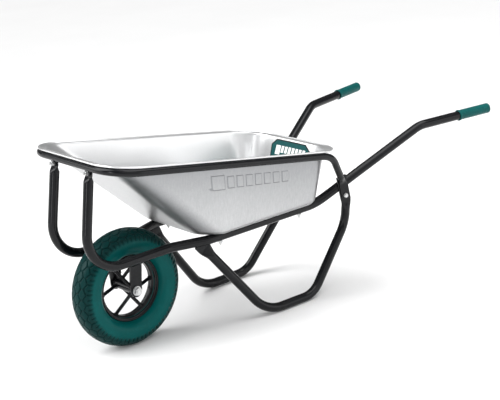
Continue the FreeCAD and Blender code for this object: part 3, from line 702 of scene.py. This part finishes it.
# ------------------------------------------------------------------ rim
def rim_mesh():
    """Rolled steel rim: lips, bead seats, humps and the well, as one sheet."""
    half_sheet, end_round = 0.9, 0.7
    # (y, r) pairs down the middle of the sheet, from one lip to the centre of the well
    middle = [(25.2, 108.6), (25.6, 110.8), (24.9, 112.6), (23.2, 113.0), (22.0, 111.4), (21.8, 108),
              (21.6, 105.2), (20.4, 103.9), (18.6, 103.5), (16.2, 103.7), (14.6, 104.2), (13.2, 103.6),
              (12, 101.6), (10.6, 98.9), (8.8, 97.7), (6, 97.5), (3, 97.9), (0, 98.1)]
    line = np.array(middle + [(-y, r) for y, r in middle[::-1][1:]])
    tangent = unit_rows(np.gradient(line, axis=0))
    normal = np.stack([-tangent[:, 1], tangent[:, 0]], 1)
    one_side, other_side = line + normal * half_sheet, line - normal * half_sheet
    last, first = line[-1] + tangent[-1] * end_round, line[0] - tangent[0] * end_round
    profile = np.concatenate([one_side, [last], other_side[::-1], [first]])
    return lathe("rim_rolled", HUB, (0, 1, 0), profile, 192, BLACK)


rim = rim_mesh()
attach(rim, "wheel")
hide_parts("wheel_rim")


# ------------------------------------------------------------------ welds
WELD_SIDES = 10
WELD_STEP, WELD_RIPPLE = 0.9, 2.6   # spacing of the rings, and length of one ripple


def weld(name, points, thick, body, closed=False):
    """A rippled bead of weld laid along points."""
    points = np.array(points, float)
    along = np.concatenate([[0], np.cumsum(np.linalg.norm(np.diff(points, axis=0), axis=1))])
    count = max(8, int(along[-1] / WELD_STEP))
    at = np.linspace(0, along[-1], count, endpoint=not closed)
    line = np.stack([np.interp(at, along, points[:, k]) for k in range(3)], 1)
    if closed:
        tangent = np.roll(line, -1, 0) - np.roll(line, 1, 0)
    else:
        tangent = np.gradient(line, axis=0)
    tangent = unit_rows(tangent)
    side = unit_rows(np.cross(tangent, np.array([0.36, 0.48, 0.8])))
    up = np.cross(tangent, side)
    turn = np.linspace(0, 2 * math.pi, WELD_SIDES, endpoint=False)
    size = thick * (1 + 0.16 * np.sin(at / WELD_RIPPLE * 2 * math.pi) + 0.10 * RNG.uniform(-1, 1, count))
    if not closed:
        size[[0, -1]] *= 0.4
    ring = side[:, None, :] * np.cos(turn)[None, :, None] + up[:, None, :] * np.sin(turn)[None, :, None]
    surface = line[:, None, :] + ring * size[:, None, None]
    faces = grid_faces(count, WELD_SIDES, wrap_rows=closed)
    if not closed:
        faces += [tuple(range(WELD_SIDES))[::-1], tuple(range((count - 1) * WELD_SIDES, count * WELD_SIDES))]
    obj = edit(mesh_object(name, surface.reshape(-1, 3), faces, material=BLACK), face_out)
    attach(obj, body)


def spoke_joint(centre, way, out, radius, wheel_radius):
    """The line where a round spoke meets a cylinder about the axle: a circle slid along the spoke onto it."""
    side, up = across(way, [0.31, 0.93, 0.17])
    points = []
    for a in np.linspace(0, 2 * math.pi, 29):
        p = centre + (side * math.cos(a) + up * math.sin(a)) * radius
        from_axle = p - HUB
        flat = math.hypot(from_axle[0], from_axle[2])
        ahead = from_axle @ out
        wanted = math.sqrt(max(wheel_radius**2 - (flat**2 - ahead**2), 0))
        points.append(p + way * ((wanted - ahead) / (way @ out)))
    return points


HUB_R, SPOKE_R, SPOKE_HUB_Y, SPOKE_RIM_Y, WELL_R = 15, 6, 39, -7, 96.5
SPOKE_WELD = 1.7
for i in range(6):
    angle = math.radians(60 * i)
    sign = 1 if i % 2 else -1       # spokes start at the two ends of the hub in turn
    out = np.array([math.cos(angle), 0, math.sin(angle)])
    start = HUB + out * (HUB_R - 4) + np.array([0, sign * SPOKE_HUB_Y, 0])
    finish = HUB + out * (WELL_R + 4) + np.array([0, sign * SPOKE_RIM_Y, 0])
    way = unit(finish - start)
    at_hub = spoke_joint(start, way, out, SPOKE_R + 0.4, HUB_R + 0.6)
    at_rim = spoke_joint(finish, way, out, SPOKE_R + 0.4, WELL_R - 0.5)
    weld("weld_hub_%d" % (i + 1), at_hub, SPOKE_WELD, "wheel", True)
    weld("weld_rim_%d" % (i + 1), at_rim, SPOKE_WELD, "wheel", True)


# ------------------------------------------------------------------ grips
HANDLE_END, HANDLE_BEND = (-1436, 341, 553.8), (-1131, 285, 545.5)      # on the left side
GRIP_LENGTH, GRIP_R, GRIP_BORE, GRIP_CAP = 140, 18.5, 16.05, 5
GRIP_ROUND = 4                      # at the closed end
ON_AXIS = 0.001                     # a radius small enough for merge() to close the end
RIB_FROM, RIB_END, RIB_FADE = 9, 12, 5         # the first two from the open and the closed end
RIB_DEPTH, RIB_PITCH = 1.3, 11.9
FLUTE_DEPTH, FLUTES = 0.5, 22


def grip_mesh(side):
    """A ribbed grip over the end of one handle."""
    mirror = np.array([1, 1 if side == "left" else -1, 1])
    end, bend = np.array(HANDLE_END) * mirror, np.array(HANDLE_BEND) * mirror
    way = unit(end - bend)
    start = end - way * (GRIP_LENGTH - GRIP_CAP)
    profile = [(6, GRIP_BORE), (0, GRIP_BORE), (0, 19.2), (0.6, 19.9), (3.8, 20.0), (5, 19.6), (6, GRIP_R)]
    profile += [(x, GRIP_R) for x in np.arange(8, GRIP_LENGTH - 5, 1.0)]
    for a in np.radians(np.linspace(8, 90, 9)):
        profile.append((GRIP_LENGTH - GRIP_ROUND + GRIP_ROUND * math.sin(a),
                        GRIP_R - GRIP_ROUND + GRIP_ROUND * math.cos(a)))
    inner_end = GRIP_LENGTH - GRIP_CAP
    profile += [(GRIP_LENGTH, 6), (GRIP_LENGTH, ON_AXIS), (inner_end, ON_AXIS), (inner_end, GRIP_BORE)]

    def ribs(along, r, turn):
        """Finger ribs on the underside and shallow flutes above, dying out at both ends."""
        to_end = GRIP_LENGTH - RIB_END - along
        if r < GRIP_R - 0.3 or along < RIB_FROM or to_end < 0:
            return 0 * turn
        fade = min(1, (along - RIB_FROM) / RIB_FADE, to_end / RIB_FADE)
        under = np.clip(np.sin(turn), 0, 1) ** 0.5
        rib = RIB_DEPTH * (0.5 - 0.5 * math.cos(2 * math.pi * (along - RIB_FROM) / RIB_PITCH)) * under
        flute = FLUTE_DEPTH * (0.5 + 0.5 * np.cos(turn * FLUTES)) ** 2 * (1 - under)
        return -fade * (rib + flute)

    obj = lathe("grip_%s_moulded" % side, start, way, profile, 160, GRIP, ripple=ribs)
    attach(obj, "frame")
    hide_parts("grip_" + side)


grip_mesh("left")
grip_mesh("right")


# ------------------------------------------------------------------ welds on the frame
BRACKET_WELD_HALF = 21
BRACKET_WELDS = (("outer", 100.6, 307.6, 2.0), ("inner", 92.5, 307.4, 1.8))     # y, z and thickness
for side, sign in (("left", 1), ("right", -1)):
    for face, y, z, thick in BRACKET_WELDS:
        line = [(x, sign * y, z) for x in np.linspace(-BRACKET_WELD_HALF, BRACKET_WELD_HALF, 16)]
        weld("weld_bracket_%s_%s" % (face, side), line, thick, "frame")


# ------------------------------------------------------------------ floor, light and camera
def floor_material():
    """Matt near-white paint."""
    n = Nodes("studio_floor")
    tone = n.blend(n.ramp(n.noise(1.5, 3), 0.3, 0.7), (0.86, 0.86, 0.86), (0.88, 0.88, 0.88))
    n.set(Base_Color=tone, Roughness=0.75, Specular_IOR_Level=0.1)
    return n.material


FLOOR_HALF = 40
floor_corners = [(x * FLOOR_HALF, y * FLOOR_HALF, 0) for x, y in ((-1, -1), (1, -1), (1, 1), (-1, 1))]
floor_mesh = bpy.data.meshes.new("floor")
floor_mesh.from_pydata(floor_corners, [], [(0, 1, 2, 3)])
floor_mesh.materials.append(floor_material())
floor = bpy.data.objects.new("floor", floor_mesh)
bpy.context.scene.collection.objects.link(floor)


def lamp(name, kind, toward, power):
    """A light that shines along a direction."""
    data = bpy.data.lights.new(name, kind)
    data.energy = power
    obj = bpy.data.objects.new(name, data)
    obj.rotation_euler = toward.to_track_quat("-Z", "Y").to_euler()
    bpy.context.scene.collection.objects.link(obj)
    return obj


def softbox(name, place, target, size_x, size_y, power):
    """A rectangular light at a place, turned to a target, both in metres."""
    obj = lamp(name, "AREA", Vector(target) - Vector(place), power)
    obj.location = place
    obj.data.shape = "RECTANGLE"
    obj.data.size = size_x
    obj.data.size_y = size_y


def sky(name, came_from, power, angle):
    """A broad sun, as wide as the angle in degrees."""
    lamp(name, "SUN", -Vector(came_from), power).data.angle = math.radians(angle)


sky("sky_left", (0.50, -0.32, 0.75), 2.95, 50)
sky("sky_camera", (0.10, 0.80, 0.55), 0.7, 60)
softbox("panel", (-3.6, 4.8, 1.6), (0, 0, 0.6), 5.0, 3.2, 80)
softbox("panel_back", (4.2, -2.6, 2.0), (-0.6, 0, 0.5), 3.6, 2.4, 100)
softbox("strip_left", (4.4, 1.2, 0.95), (0, 0, 0.5), 0.5, 1.8, 24)
softbox("overhead", (-0.5, 0.8, 3.2), (-0.4, 0.2, 0.5), 3.0, 2.0, 75)

world = bpy.data.worlds.new("studio")
world.use_nodes = True
background = world.node_tree.nodes["Background"]
background.inputs["Color"].default_value = (1, 1, 1, 1)
background.inputs["Strength"].default_value = 0.22
bpy.context.scene.world = world
bpy.context.scene.view_settings.view_transform = "Standard"

# the camera's angles in radians, and its place in metres from the axle in x
YAW, PITCH_DOWN, ROLL = 0.6797993, 0.3006668, -0.0769592
place = Vector((2.130418 + AXLE.x, 3.319982, 1.681803))
flat = math.cos(PITCH_DOWN)
ahead = Vector((-math.sin(YAW) * flat, -math.cos(YAW) * flat, -math.sin(PITCH_DOWN)))
level = ahead.cross(Vector((0, 0, 1))).normalized()
above = level.cross(ahead)
right = level * math.cos(ROLL) + above * math.sin(ROLL)
upward = above * math.cos(ROLL) - level * math.sin(ROLL)
camera_data = bpy.data.cameras.new("camera")
camera_data.sensor_width = 36
camera_data.lens = 91.02
camera = bpy.data.objects.new("camera", camera_data)
bpy.context.scene.collection.objects.link(camera)
camera.matrix_world = Matrix.Translation(place) @ Matrix((right, upward, -ahead)).transposed().to_4x4()
bpy.context.scene.camera = camera
